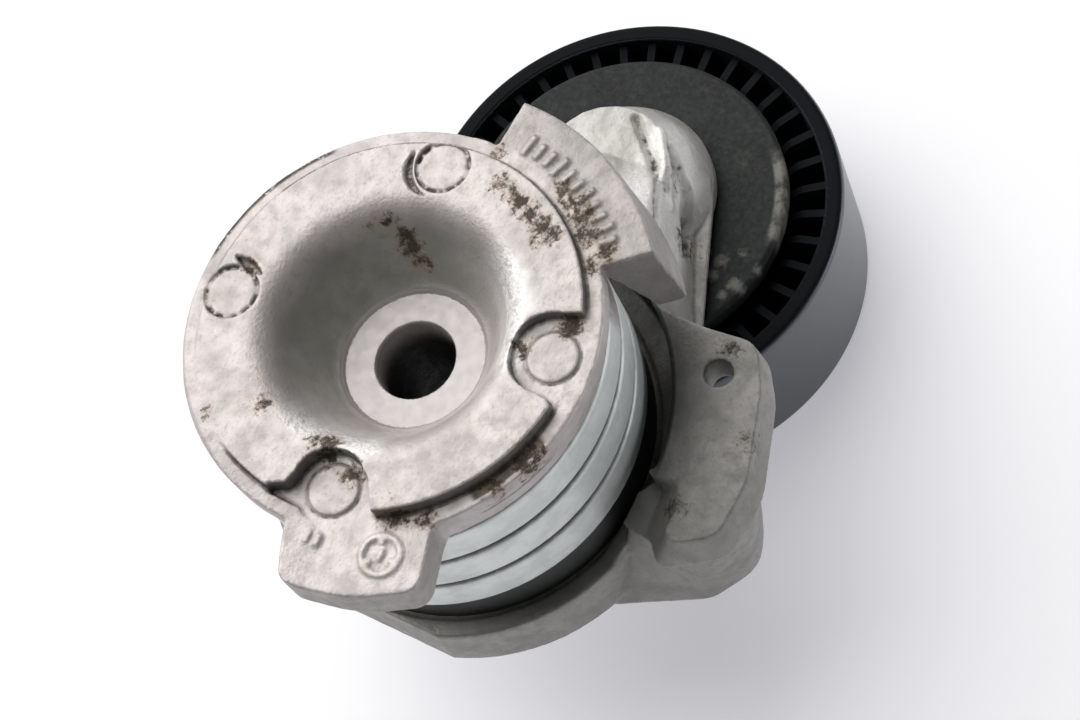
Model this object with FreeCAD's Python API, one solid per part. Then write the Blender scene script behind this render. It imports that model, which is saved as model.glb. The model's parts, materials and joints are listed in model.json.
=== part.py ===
import FreeCAD, Part
import math
import os

# Automatic belt tensioner with a smooth idler pulley.
# The origin is the centre of the bolt bore, at the machined seat that meets the engine.
# +Z points to the engine side along the bolt, and +X points to the pulley's axis.

# Driving dimensions, in millimetres and degrees
PULLEY_R = 35.0
PULLEY_TOP_Z = -42.9
PULLEY_WIDTH = 26.1
CENTRE_DISTANCE = 48.5

BOLT_BORE_R = 5.9
SEAT_R = 10.5
MOUTH_R = 18.2
PAD_R = 27.7
RIM_R = 30.2
PAD_Z = 13.0
FLANGE_Z = 7.5
POST_R = 10.0
POST_END_Z = -43.0
RETAINER_TOP_Z = -39.5
RETAINER_END_Z = -41.4
BAND_DROP = 2.8
BAND_START_DEG = 145.0
BAND_END_DEG = -172.0
BAND_OUTER_R = 42.0
BAND_CUT_HEIGHT = 6.0
BAND_NOTCH_DEGS = (-130.0, -106.0)
BAND_NOTCH_DEPTH = 4.2
CONE_BORE_R = 23.0
CONE_ROOF_Z = 6.0
POST_ROOT_Z = -4.6

SPRING_R = 29.3
SPRING_INNER_R = 24.3
WIRE_HEIGHT = 7.85
COIL_PITCH = 8.15
SPRING_TURNS = 2.75
SPRING_START_DEG = -60.0
SPRING_TOP_Z = 5.1
CONE_END_Z = -2.75
GUIDE_R = 24.0
GUIDE_BORE_R = 21.2
GUIDE_END_Z = -24.0
SEAT_INNER_R = 24.4
SEAT_OUTER_R = 28.6

PIN_MARK_CIRCLE_R = 24.3
PIN_MARK_R = 3.6
PIN_MARK_DEGS = {"top": 7.5, "left": 97.5, "bottom": 187.5, "right": 277.5}
SCALLOP_R = {"bottom": 5.2, "right": 5.9}
SCALLOP_MOUTHS = {
    "bottom": [
        (-22.0, -4.0, 0),
        (-20.6, -7.6, 1.2),
        (-25.7, -10.7, 0),
        (-28.3, -8.0, 0),
        (-28.0, 0.6, 0),
        (-27.65, 5.2, 0),
        (-26.9, 5.0, 0),
        (-25.9, 2.6, 0),
        (-23.6, 1.9, 0)],
    "right": [
        (0.0, -24.0, 0),
        (-2.6, -24.0, 0),
        (-3.1, -26.6, 0),
        (-4.4, -28.0, 0),
        (9.0, -28.0, 0),
        (9.9, -25.7, 0),
        (8.9, -23.2, 0),
        (6.0, -22.0, 0)]}

TOP_TAB_DEGS = (-54.6, -4.6)
TOP_TAB_END_Z = -4.0
TAB_TOP_Z = 12.6
BOTTOM_TAB_Z = 4.0

HUB_R = 15.6
HUB_BORE_R = 12.0
HUB_TOP_Z = -8.0
CUP_R = 32.1
CUP_FOOT_R = 31.7
CUP_RIM_Z = -26.9
CUP_FLOOR_Z = -27.5
CUP_FLAT_X = 29.9
CUP_FLAT_DEG = 176.5
ARM_FRONT_Z = -38.0
EAR_TOP_Z = -16.6
EAR_UNDER_Z = -22.8
EAR_INNER_R = 33.2
LOBE_END_Z = -41.0
LOCK_HOLE_R = 2.15
LOCK_HOLE_POS = (17.9, -35.9)
NECK_PLATE_Z = (-39.4, -36.6)
BOSS_R = 15.5
BOSS_TOP_R = 10.0
BOSS_TOP_Z = -27.0
BOSS_FACE_Z = -40.2
BOSS_PAD_R = 12.5
BOSS_THREAD_R = 5.0
BOSS_THREAD_END_Z = -28.8
POCKET_COUNT = 8
POCKET_R = (20.0, 28.4)
POCKET_DEPTH = 6.0
POCKET_RIB_DEG = 7.0
STOP_LUG_R = (16.2, 20.6)
ARM_TRAVEL_DEG = 65.0
STOP_GAP_DEG = 0.6
STOP_WIDTH_DEG = 24.0
STOP_Z = (-12.0, 4.5)
ARM_LUG_DEGS = (100.0, 124.0)
ARM_LUG_TOP_Z = -8.8

BEARING_BORE_R = 8.5
BEARING_R = 20.0
BEARING_TOP_Z = -49.0
BEARING_WIDTH = 12.0
BALL_PITCH_R = 14.25
BALL_R = 3.375
GROOVE_R = 3.5
BALL_COUNT = 8
RIB_COUNT = 40
RIB_THICKNESS = 1.3
WEB_THICKNESS = 3.2
RIM_THICKNESS = 3.0
HUB_RING_R = 23.6

SHIELD_R = 26.4
FRONT_SHIELD_R = 23.2
FRONT_SHIELD_THICKNESS = 1.2
BOLT_ACROSS_FLATS = 15.0
BOLT_FLANGE_R = 10.6
BOLT_HEAD_HEIGHT = 6.8

RUNNING_GAP = 0.08
FACE_GAP = 0.05
HELIX_STEPS_PER_TURN = 36

PULLEY_END_Z = PULLEY_TOP_Z - PULLEY_WIDTH
BEARING_END_Z = BEARING_TOP_Z - BEARING_WIDTH
BEARING_MID_Z = BEARING_TOP_Z - BEARING_WIDTH / 2


def vec(x, y, z):
    return FreeCAD.Vector(x, y, z)


def polar(radius, degrees, z=0.0):
    angle = math.radians(degrees)
    return vec(radius * math.cos(angle), radius * math.sin(angle), z)


def rounded_wire(corners, place):
    """A closed wire through corners (a, b, radius), with place(a, b) giving each point in space."""
    count = len(corners)
    starts, ends, middles = [], [], []
    for i, (a, b, radius) in enumerate(corners):
        before = corners[i - 1]
        after = corners[(i + 1) % count]
        to_before = (before[0] - a, before[1] - b)
        to_after = (after[0] - a, after[1] - b)
        len_before = math.hypot(*to_before)
        len_after = math.hypot(*to_after)
        unit_before = (to_before[0] / len_before, to_before[1] / len_before)
        unit_after = (to_after[0] / len_after, to_after[1] / len_after)
        cosine = unit_before[0] * unit_after[0] + unit_before[1] * unit_after[1]
        half_angle = math.acos(max(-1.0, min(1.0, cosine))) / 2
        if radius == 0 or half_angle > math.radians(89.5):
            starts.append((a, b))
            ends.append((a, b))
            middles.append(None)
            continue
        setback = radius / math.tan(half_angle)
        starts.append((a + unit_before[0] * setback, b + unit_before[1] * setback))
        ends.append((a + unit_after[0] * setback, b + unit_after[1] * setback))
        bisector = (unit_before[0] + unit_after[0], unit_before[1] + unit_after[1])
        scale = (radius / math.sin(half_angle) - radius) / math.hypot(*bisector)
        middles.append((a + bisector[0] * scale, b + bisector[1] * scale))
    edges = []
    for i in range(count):
        if middles[i] is not None:
            arc = Part.Arc(place(*starts[i]), place(*middles[i]), place(*ends[i]))
            edges.append(arc.toShape())
        leave = place(*ends[i])
        arrive = place(*starts[(i + 1) % count])
        if leave.distanceToPoint(arrive) > 1e-6:
            edges.append(Part.LineSegment(leave, arrive).toShape())
    return Part.Wire(edges)


def revolved(corners, start_deg=0.0, sweep_deg=360.0):
    """A solid turned about Z from a half section of (radius, z, corner radius)."""
    wire = rounded_wire(corners, lambda r, z: vec(r, 0, z))
    face = Part.Face(wire)
    if start_deg:
        face.rotate(vec(0, 0, 0), vec(0, 0, 1), start_deg)
    return face.revolve(vec(0, 0, 0), vec(0, 0, 1), sweep_deg)


def prism(corners, low_z, high_z):
    """A plan outline of (x, y, corner radius), extruded from low_z to high_z."""
    wire = rounded_wire(corners, lambda x, y: vec(x, y, low_z))
    return Part.Face(wire).extrude(vec(0, 0, high_z - low_z))


def disc(radius, low_z, high_z, x=0.0, y=0.0):
    return Part.makeCylinder(radius, high_z - low_z, vec(x, y, low_z))


def ring(inner_r, outer_r, low_z, high_z):
    return disc(outer_r, low_z, high_z).cut(disc(inner_r, low_z - 1, high_z + 1))


def sector(inner_r, outer_r, start_deg, end_deg, low_z, high_z):
    section = [(inner_r, low_z, 0), (outer_r, low_z, 0), (outer_r, high_z, 0), (inner_r, high_z, 0)]
    return revolved(section, start_deg, end_deg - start_deg)


def helix_edge(radius, start_deg, turns, start_z, drop_per_turn):
    """A clockwise helix seen from +Z, as one smooth edge."""
    steps = max(6, math.ceil(turns * HELIX_STEPS_PER_TURN))
    points = []
    for i in range(steps + 1):
        turn = turns * i / steps
        points.append(polar(radius, start_deg - 360 * turn, start_z - drop_per_turn * turn))
    curve = Part.BSplineCurve()
    curve.interpolate(points)
    return curve.toShape()


def helical_slab(radii, start_deg, turns, start_z, drop_per_turn, height):
    """A slab between two radii that follows a helix, raised (or, if negative, lowered) by height."""
    inner = helix_edge(radii[0], start_deg, turns, start_z, drop_per_turn)
    outer = helix_edge(radii[1], start_deg, turns, start_z, drop_per_turn)
    return Part.makeRuledSurface(inner, outer).extrude(vec(0, 0, height))


def tangent_plate(first_r, second_r, distance, low_z, high_z):
    """Two discs, the second at x = distance, joined by their common tangents."""
    lean = math.asin((first_r - second_r) / distance)
    touch_first = vec(first_r * math.sin(lean), first_r * math.cos(lean), 0)
    touch_second = vec(distance + second_r * math.sin(lean), second_r * math.cos(lean), 0)
    web = prism([
        (touch_first.x, -touch_first.y, 0),
        (touch_second.x, -touch_second.y, 0),
        (touch_second.x, touch_second.y, 0),
        (touch_first.x, touch_first.y, 0)], low_z, high_z)
    return web.fuse([disc(first_r, low_z, high_z), disc(second_r, low_z, high_z, distance)])


def at_pulley(shape):
    shape.translate(vec(CENTRE_DISTANCE, 0, 0))
    return shape


def band_level(degrees):
    """Height of the stepped outer band, which falls clockwise from the pad's level."""
    span = BAND_START_DEG - BAND_END_DEG
    return PAD_Z - BAND_DROP * (BAND_START_DEG - degrees) / span


# ---------------------------------------------------------------- fixed base

def base_body():
    return revolved([
        (BOLT_BORE_R, 0, 0),
        (SEAT_R, 0, 0),
        (SEAT_R, 0.6, 0),
        (11.6, 1.4, 0.8),
        (MOUTH_R, PAD_Z, 4.5),
        (RIM_R, PAD_Z, 1.4),
        (RIM_R, FLANGE_Z, 0.4),
        (SPRING_R, FLANGE_Z, 0),
        (SPRING_R, CONE_END_Z, 0),
        (CONE_BORE_R, CONE_END_Z, 0),
        (CONE_BORE_R, CONE_ROOF_Z, 0.4),
        (20.4, CONE_ROOF_Z, 0.4),
        (14.2, POST_ROOT_Z, 0.4),
        (POST_R, POST_ROOT_Z, 0),
        (POST_R, -41.5, 0),
        (11.2, -41.5, 0),
        (11.2, -42.4, 0.5),
        (10.4, POST_END_Z, 0.2),
        (BOLT_BORE_R, POST_END_Z, 0)])


def top_tab():
    """The finger tab: it hangs from the rim outside the spring, and a locking pin rests against it."""
    start, end = TOP_TAB_DEGS
    section = [
        (27.0, FLANGE_Z + 0.2, 0),
        (30.4, FLANGE_Z - 0.2, 0.6),
        (31.6, 5.0, 2.0),
        (34.9, TOP_TAB_END_Z, 0.5),
        (39.3, TOP_TAB_END_Z, 1.0),
        (37.5, TAB_TOP_Z, 0.3),
        (27.0, TAB_TOP_Z, 0)]
    return revolved(section, start, end - start)


def bottom_tab():
    return prism([
        (-21.9, -18.6, 0),
        (-25.4, -19.0, 2.5),
        (-32.9, -20.9, 2.6),
        (-37.2, -12.0, 24.0),
        (-38.4, -1.6, 2.6),
        (-29.0, 1.8, 0),
        (-21.0, -4.0, 0)], BOTTOM_TAB_Z, TAB_TOP_Z)


def base_stop_lugs():
    """Two lugs under the cone that the arm's lug meets at each end of its travel."""
    low, high = STOP_LUG_R
    free_face = ARM_LUG_DEGS[0] - STOP_GAP_DEG
    loaded_face = ARM_LUG_DEGS[1] + ARM_TRAVEL_DEG + STOP_GAP_DEG
    free_stop = sector(low, high, free_face - STOP_WIDTH_DEG, free_face, *STOP_Z)
    loaded_stop = sector(low, high, loaded_face, loaded_face + STOP_WIDTH_DEG, *STOP_Z)
    return free_stop.fuse(loaded_stop)


def base_casting():
    shape = base_body().fuse([top_tab(), bottom_tab()])
    full = 360.0
    band_turns = (BAND_START_DEG - BAND_END_DEG) / full
    band_radii = (PAD_R, BAND_OUTER_R)
    shape = shape.cut(helical_slab(
        band_radii, BAND_START_DEG, band_turns, PAD_Z, BAND_DROP / band_turns, BAND_CUT_HEIGHT))
    ramp_turns = 1.0 - band_turns
    shape = shape.cut(helical_slab(
        band_radii, BAND_END_DEG, ramp_turns, PAD_Z - BAND_DROP, -BAND_DROP / ramp_turns, BAND_CUT_HEIGHT))
    under_start = (SPRING_INNER_R - 1.4, SPRING_R + 0.1)
    shape = shape.cut(helical_slab(under_start, SPRING_START_DEG, 1.0, SPRING_TOP_Z, COIL_PITCH, -14.0))
    for name, degrees in PIN_MARK_DEGS.items():
        spot = polar(PIN_MARK_CIRCLE_R, degrees)
        if name in SCALLOP_R:
            floor_z = band_level(degrees if degrees < BAND_START_DEG else degrees - full)
            hollow = disc(SCALLOP_R[name], floor_z, PAD_Z + 1, spot.x, spot.y)
            mouth = prism(SCALLOP_MOUTHS[name], floor_z, PAD_Z + 1)
            shape = shape.cut(hollow.fuse(mouth).removeSplitter())
            shape = shape.fuse(disc(PIN_MARK_R, floor_z - 1, floor_z + 0.35, spot.x, spot.y))
        else:
            shape = shape.cut(disc(PIN_MARK_R + 0.5, PAD_Z - 0.9, PAD_Z + 1, spot.x, spot.y))
            shape = shape.fuse(disc(PIN_MARK_R, PAD_Z - 1.5, PAD_Z - 0.35, spot.x, spot.y))
    shape = shape.cut(sector(PAD_R, 29.0, *BAND_NOTCH_DEGS, PAD_Z - BAND_NOTCH_DEPTH, PAD_Z + 1))
    shape = shape.fuse(base_stop_lugs())
    return shape.cut(disc(BOLT_BORE_R, POST_END_Z - 1, 1.0)).removeSplitter()


def retaining_plate():
    return revolved([
        (POST_R + 0.03, RETAINER_END_Z, 0),
        (17.2, RETAINER_END_Z, 0.6),
        (17.8, RETAINER_TOP_Z, 0.5),
        (POST_R + 0.03, RETAINER_TOP_Z, 0)])


def friction_disc():
    return ring(POST_R + 0.05, 17.3, RETAINER_TOP_Z + FACE_GAP, ARM_FRONT_Z - FACE_GAP)


def spring_guide():
    fit_r = CONE_BORE_R - 2 * FACE_GAP
    top = CONE_ROOF_Z - 0.2
    shoulder = CONE_END_Z - 0.45
    return revolved([
        (GUIDE_BORE_R, top, 0.4),
        (fit_r, top, 0.3),
        (fit_r, shoulder, 0),
        (GUIDE_R, shoulder, 0.3),
        (GUIDE_R, GUIDE_END_Z, 0.6),
        (GUIDE_BORE_R, GUIDE_END_Z, 0.4)])


def torsion_spring():
    radii = (SPRING_INNER_R, SPRING_R)
    top = SPRING_TOP_Z - FACE_GAP
    return helical_slab(radii, SPRING_START_DEG, SPRING_TURNS, top, COIL_PITCH, -WIRE_HEIGHT)


# ---------------------------------------------------------------- swinging arm

def spring_seat():
    """Polymer ring in the cup, with a ramp and a step that the spring's lower end pushes on."""
    end_deg = SPRING_START_DEG - 360 * SPRING_TURNS
    ramp_top = SPRING_TOP_Z - COIL_PITCH * (SPRING_TURNS - 1) - WIRE_HEIGHT - 2 * FACE_GAP
    body = ring(SEAT_INNER_R, SEAT_OUTER_R, CUP_FLOOR_Z, ramp_top)
    return body.cut(helical_slab((SEAT_INNER_R - 1, 30.0), end_deg, 1.0, ramp_top, COIL_PITCH, 20.0))


def arm_cup():
    return revolved([
        (HUB_BORE_R, HUB_TOP_Z, 0),
        (HUB_R, HUB_TOP_Z, 0.5),
        (HUB_R, CUP_RIM_Z, 0),
        (CUP_R, CUP_RIM_Z, 0.7),
        (CUP_FOOT_R, ARM_FRONT_Z, 1.2),
        (HUB_BORE_R, ARM_FRONT_Z, 0)])


def drafted(low_corners, low_z, high_corners, high_z):
    """A block between two outlines with the same number of corners."""
    low = rounded_wire(low_corners, lambda x, y: vec(x, y, low_z))
    high = rounded_wire(high_corners, lambda x, y: vec(x, y, high_z))
    return Part.makeLoft([low, high], True, True)


def ear():
    """The ear reaches out from the cup beside the pulley and carries the locking hole."""
    under = [
        (18.0, -16.0, 0),
        (25.6, -20.5, 0),
        (24.4, -31.0, 30.0),
        (24.8, -39.6, 4.5),
        (18.0, -43.9, 12.0),
        (4.4, -47.8, 10.0),
        (-5.6, -47.2, 5.0),
        (-11.0, -37.6, 2.5),
        (-6.0, -33.6, 3.0),
        (0.6, -33.0, 1.5),
        (1.0, -29.0, 0),
        (0.0, -20.0, 0)]
    top = [
        (18.0, -16.0, 0),
        (25.0, -20.5, 0),
        (23.9, -31.0, 30.0),
        (24.2, -39.4, 4.5),
        (17.5, -42.9, 12.0),
        (4.0, -46.6, 10.0),
        (-5.0, -45.9, 4.5),
        (-9.2, -38.0, 2.0),
        (-3.5, -38.6, 3.0),
        (0.2, -37.4, 1.2),
        (0.8, -30.0, 0),
        (0.0, -20.0, 0)]
    return drafted(under, EAR_UNDER_Z, top, EAR_TOP_Z)


def lobe():
    """Rounded lug under the ear's outer corner."""
    foot = [
        (16.0, -24.0, 0),
        (8.0, -38.0, 5.0),
        (6.2, -43.4, 4.5),
        (-0.6, -45.6, 6.0),
        (-7.6, -40.8, 6.0),
        (-13.8, -27.0, 0)]
    top = [
        (10.0, -31.0, 0),
        (9.5, -40.0, 5.0),
        (7.8, -45.8, 4.5),
        (-0.5, -48.2, 6.0),
        (-8.4, -43.0, 6.0),
        (-6.6, -31.0, 0)]
    return drafted(foot, LOBE_END_Z, top, EAR_UNDER_Z + 0.1)


def ear_wall():
    """Full height wall that joins the ear to the cup."""
    return prism([
        (14.0, -16.0, 0),
        (26.4, -18.6, 0),
        (22.6, -27.0, 4.0),
        (13.0, -34.5, 6.0),
        (0.8, -35.6, 1.0),
        (0.8, -22.0, 0)], ARM_FRONT_Z, EAR_UNDER_Z + 0.5)


def ramp(radii, start_deg, end_deg, start_z, end_z, depth):
    turns = (start_deg - end_deg) / 360
    return helical_slab(radii, start_deg, turns, start_z, (start_z - end_z) / turns, -depth)


def ear_ledge():
    """The cup's rim climbs in two steps to a ledge at the foot of the ear."""
    ledge = ramp((30.4, 34.4), -84.0, -101.5, -20.5, -22.6, 9.0)
    rim_rise = ramp((28.0, CUP_R - 0.4), -99.0, -114.0, -24.9, CUP_RIM_Z - 0.4, 5.0)
    return ledge.fuse(rim_rise)


def neck_section(x, half_bottom, half_top, low_z, high_z):
    return Part.makePolygon([
        vec(x, -half_bottom, low_z),
        vec(x, half_bottom, low_z),
        vec(x, half_top, high_z),
        vec(x, -half_top, high_z),
        vec(x, -half_bottom, low_z)])


def neck():
    """Raised rib of the arm, from the cup to the pulley's boss, with sloped flanks."""
    sections = [
        neck_section(20.0, 27.0, 22.0, ARM_FRONT_Z, EAR_TOP_Z),
        neck_section(34.0, 20.0, 15.5, ARM_FRONT_Z, EAR_TOP_Z - 2.2),
        neck_section(50.0, 13.5, 8.5, ARM_FRONT_Z, BOSS_TOP_Z)]
    rib = Part.makeLoft(sections, True, True)
    boss = Part.makeCone(BOSS_R, BOSS_TOP_R, BOSS_TOP_Z - NECK_PLATE_Z[1])
    boss.translate(vec(CENTRE_DISTANCE, 0, NECK_PLATE_Z[1]))
    plate = tangent_plate(CUP_FOOT_R, BOSS_R, CENTRE_DISTANCE, NECK_PLATE_Z[0] + 1.4, NECK_PLATE_Z[1])
    foot = disc(BOSS_R, NECK_PLATE_Z[0], NECK_PLATE_Z[1], CENTRE_DISTANCE)
    pad = disc(BOSS_PAD_R, BOSS_FACE_Z, NECK_PLATE_Z[0], CENTRE_DISTANCE)
    return rib.fuse([boss, plate, foot, pad])


def front_pockets():
    """Casting pockets in the arm's front face, between radial ribs."""
    pockets = []
    pitch = 360 / POCKET_COUNT
    for i in range(POCKET_COUNT):
        start = pitch * i + POCKET_RIB_DEG / 2
        end = start + pitch - POCKET_RIB_DEG
        pockets.append(sector(*POCKET_R, start, end, ARM_FRONT_Z - 3, ARM_FRONT_Z + POCKET_DEPTH))
    return pockets


def spring_space():
    """Room for the coils: narrow in the cup, wider where the ear's edge stands above it."""
    space = ring(HUB_R, SPRING_R + 0.1, CUP_FLOOR_Z, 0.0)
    beside_ear = sector(HUB_R, EAR_INNER_R, -86.0, 30.0, CUP_RIM_Z, 0.0)
    ledge_corner = prism([
        (1.7, -33.15, 0),
        (-1.4, -30.3, 0),
        (-1.4, -25.0, 0),
        (5.0, -25.0, 0),
        (5.0, -32.8, 0)], CUP_RIM_Z, 0.0)
    return space.fuse([beside_ear, ledge_corner])


def tensioner_arm():
    shape = arm_cup().fuse([neck(), ear_wall(), ear(), lobe(), ear_ledge()])
    shape = shape.cut(spring_space())
    shape = shape.cut(disc(HUB_BORE_R, LOBE_END_Z - 1, 0.0))
    flat = Part.makeBox(20, 60, 40, vec(CUP_FLAT_X, -30, LOBE_END_Z - 1))
    flat.rotate(vec(0, 0, 0), vec(0, 0, 1), CUP_FLAT_DEG)
    shape = shape.cut(flat)
    shape = shape.cut(ring(HUB_R + 2.2, SHIELD_R, ARM_FRONT_Z - 4, ARM_FRONT_Z))
    shape = shape.cut(front_pockets())
    shape = shape.cut(disc(LOCK_HOLE_R, EAR_UNDER_Z - 1, EAR_TOP_Z + 1, *LOCK_HOLE_POS))
    shape = shape.cut(disc(BOSS_THREAD_R, BOSS_FACE_Z - 1, BOSS_THREAD_END_Z, CENTRE_DISTANCE))
    lug = sector(HUB_R - 0.6, STOP_LUG_R[1], *ARM_LUG_DEGS, -20.0, ARM_LUG_TOP_Z)
    return shape.fuse(lug).removeSplitter()


def pivot_bush():
    inner_r = POST_R + RUNNING_GAP
    return revolved([
        (inner_r, ARM_FRONT_Z + 0.3, 0),
        (HUB_BORE_R, ARM_FRONT_Z + 0.3, 0),
        (HUB_BORE_R, HUB_TOP_Z + FACE_GAP, 0),
        (13.0, HUB_TOP_Z + FACE_GAP, 0),
        (13.0, -4.9, 0.3),
        (inner_r, -4.9, 0.3)])


def bush_seal():
    return revolved([
        (13.05, HUB_TOP_Z + FACE_GAP, 0),
        (15.4, HUB_TOP_Z + FACE_GAP, 0.4),
        (15.0, -5.3, 0.5),
        (13.05, -5.3, 0.3)])


# ---------------------------------------------------------------- pulley mounting

def bearing_sleeve():
    return at_pulley(revolved([
        (5.1, BEARING_END_Z, 0),
        (BEARING_BORE_R - 0.03, BEARING_END_Z, 0.4),
        (BEARING_BORE_R - 0.03, BEARING_TOP_Z, 0),
        (12.0, BEARING_TOP_Z, 0.5),
        (12.0, BOSS_FACE_Z - 1.0, 0.5),
        (5.1, BOSS_FACE_Z - 1.0, 0)]))


def dust_shield_rear():
    """Large steel disc clamped on the boss, with its edge turned in towards the pulley."""
    top = BOSS_FACE_Z
    return at_pulley(revolved([
        (5.2, top - 1.0, 0),
        (25.3, top - 1.0, 0.5),
        (25.3, top - 3.2, 0),
        (SHIELD_R, top - 3.2, 0.3),
        (SHIELD_R, top, 0.9),
        (5.2, top, 0)]))


def dust_shield_front():
    top = BEARING_END_Z
    return at_pulley(revolved([
        (5.2, top, 0),
        (13.6, top, 1.0),
        (16.4, top - 2.2, 1.0),
        (FRONT_SHIELD_R, top - 2.2, 0.3),
        (FRONT_SHIELD_R, top - 3.2, 0.3),
        (15.8, top - 3.2, 1.0),
        (13.0, top - FRONT_SHIELD_THICKNESS, 1.0),
        (5.2, top - FRONT_SHIELD_THICKNESS, 0)]))


def hexagon(across_flats, low_z, high_z):
    corner_r = across_flats / math.sqrt(3)
    points = [polar(corner_r, 60 * i, low_z) for i in range(7)]
    return Part.Face(Part.makePolygon(points)).extrude(vec(0, 0, high_z - low_z))


def pulley_bolt():
    under_head = BEARING_END_Z - FRONT_SHIELD_THICKNESS
    head_end = under_head - BOLT_HEAD_HEIGHT
    head = hexagon(BOLT_ACROSS_FLATS, head_end, under_head - 1.0)
    bevel = Part.makeCone(BOLT_ACROSS_FLATS / 2 - 0.1, BOLT_FLANGE_R, 6.0)
    bevel.translate(vec(0, 0, head_end))
    flange = revolved([
        (0, under_head, 0),
        (BOLT_FLANGE_R, under_head, 0.3),
        (BOLT_FLANGE_R, under_head - 0.9, 0.3),
        (8.0, under_head - 2.2, 0),
        (0, under_head - 2.2, 0)])
    shank = disc(BOSS_THREAD_R - FACE_GAP, under_head - 0.5, BOSS_THREAD_END_Z - 0.8)
    return at_pulley(head.common(bevel).fuse([flange, shank]).removeSplitter())


def ball_groove(radius):
    return Part.makeTorus(BALL_PITCH_R, radius, vec(0, 0, BEARING_MID_Z))


def bearing_inner_ring():
    blank = revolved([
        (BEARING_BORE_R, BEARING_END_Z, 0.4),
        (12.3, BEARING_END_Z, 0.3),
        (12.3, BEARING_TOP_Z, 0.3),
        (BEARING_BORE_R, BEARING_TOP_Z, 0.4)])
    return at_pulley(blank.cut(ball_groove(GROOVE_R)))


def bearing_outer_ring():
    blank = revolved([
        (16.2, BEARING_END_Z + 1.6, 0.2),
        (17.5, BEARING_END_Z + 1.6, 0),
        (17.5, BEARING_END_Z, 0.3),
        (BEARING_R, BEARING_END_Z, 0.6),
        (BEARING_R, BEARING_TOP_Z, 0.6),
        (17.5, BEARING_TOP_Z, 0.3),
        (17.5, BEARING_TOP_Z - 1.6, 0),
        (16.2, BEARING_TOP_Z - 1.6, 0.2)])
    return at_pulley(blank.cut(ball_groove(GROOVE_R)))


def bearing_seal(outer_face_z, inward):
    """Lip seal held in the outer ring, just clear of the inner ring."""
    inner_face_z = outer_face_z + 1.0 * inward
    low, high = sorted((outer_face_z + 0.4 * inward, inner_face_z + 0.2 * inward))
    return at_pulley(ring(12.45, 17.45, low, high))


def ball_centres():
    return [polar(BALL_PITCH_R, 360 * i / BALL_COUNT, BEARING_MID_Z) for i in range(BALL_COUNT)]


def bearing_balls():
    return at_pulley(Part.Compound([Part.makeSphere(BALL_R, centre) for centre in ball_centres()]))


def bearing_cage():
    band = ring(13.1, 15.4, BEARING_MID_Z - 3.4, BEARING_MID_Z + 1.9)
    pockets = [Part.makeSphere(BALL_R + 0.12, centre) for centre in ball_centres()]
    return at_pulley(band.cut(pockets))


# ---------------------------------------------------------------- pulley

def pulley_rim():
    """Moulded pulley: smooth rim, mid web, and radial ribs in the recess on both sides."""
    rim_inner = PULLEY_R - RIM_THICKNESS
    mid = (PULLEY_TOP_Z + PULLEY_END_Z) / 2
    web_top = mid + WEB_THICKNESS / 2
    web_end = mid - WEB_THICKNESS / 2
    blank = revolved([
        (BEARING_R, BEARING_END_Z, 0),
        (19.0, BEARING_END_Z, 0),
        (19.0, BEARING_END_Z - 1.4, 0.4),
        (HUB_RING_R, BEARING_END_Z - 1.4, 0.6),
        (HUB_RING_R, web_end, 1.0),
        (rim_inner, web_end, 1.0),
        (rim_inner, PULLEY_END_Z, 0.5),
        (PULLEY_R, PULLEY_END_Z, 1.2),
        (PULLEY_R, PULLEY_TOP_Z, 1.2),
        (rim_inner, PULLEY_TOP_Z, 0.5),
        (rim_inner, web_top, 1.0),
        (HUB_RING_R, web_top, 1.0),
        (HUB_RING_R, BEARING_TOP_Z + 1.4, 0.6),
        (19.0, BEARING_TOP_Z + 1.4, 0.4),
        (19.0, BEARING_TOP_Z, 0),
        (BEARING_R, BEARING_TOP_Z, 0)])
    rib_section = [
        (23.0, BEARING_END_Z - 0.6, 0),
        (rim_inner + 0.5, PULLEY_END_Z + 1.6, 0),
        (rim_inner + 0.5, PULLEY_TOP_Z - 1.5, 0),
        (28.0, PULLEY_TOP_Z - 1.8, 1.0),
        (23.0, BEARING_TOP_Z + 0.6, 0)]
    wire = rounded_wire(rib_section, lambda r, z: vec(r, -RIB_THICKNESS / 2, z))
    rib = Part.Face(wire).extrude(vec(0, RIB_THICKNESS, 0))
    ribs = []
    for i in range(RIB_COUNT):
        turned = rib.copy()
        turned.rotate(vec(0, 0, 0), vec(0, 0, 1), 360 * i / RIB_COUNT)
        ribs.append(turned)
    return at_pulley(blank.fuse(ribs))


PARTS = {
    "base_casting": base_casting,
    "retaining_plate": retaining_plate,
    "friction_disc": friction_disc,
    "spring_guide": spring_guide,
    "torsion_spring": torsion_spring,
    "spring_seat": spring_seat,
    "tensioner_arm": tensioner_arm,
    "pivot_bush": pivot_bush,
    "bush_seal": bush_seal,
    "bearing_sleeve": bearing_sleeve,
    "dust_shield_rear": dust_shield_rear,
    "dust_shield_front": dust_shield_front,
    "pulley_bolt": pulley_bolt,
    "bearing_inner_ring": bearing_inner_ring,
    "bearing_outer_ring": bearing_outer_ring,
    "bearing_seal_rear": lambda: bearing_seal(BEARING_TOP_Z, -1),
    "bearing_seal_front": lambda: bearing_seal(BEARING_END_Z, 1),
    "bearing_balls": bearing_balls,
    "bearing_cage": bearing_cage,
    "pulley_rim": pulley_rim,
}

os.makedirs("parts", exist_ok=True)
for name, build in PARTS.items():
    shape = build()
    box = shape.BoundBox
    print(f"{name}: valid {shape.isValid()}, solids {len(shape.Solids)}, volume {shape.Volume:.0f} mm3, "
          f"z {box.ZMin:.1f} to {box.ZMax:.1f}")
    shape.exportStep(f"parts/{name}.step")
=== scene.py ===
import json
import math

import bmesh
import bpy
import numpy as np
from mathutils import Matrix, Vector, noise
from mathutils.bvhtree import BVHTree


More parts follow.
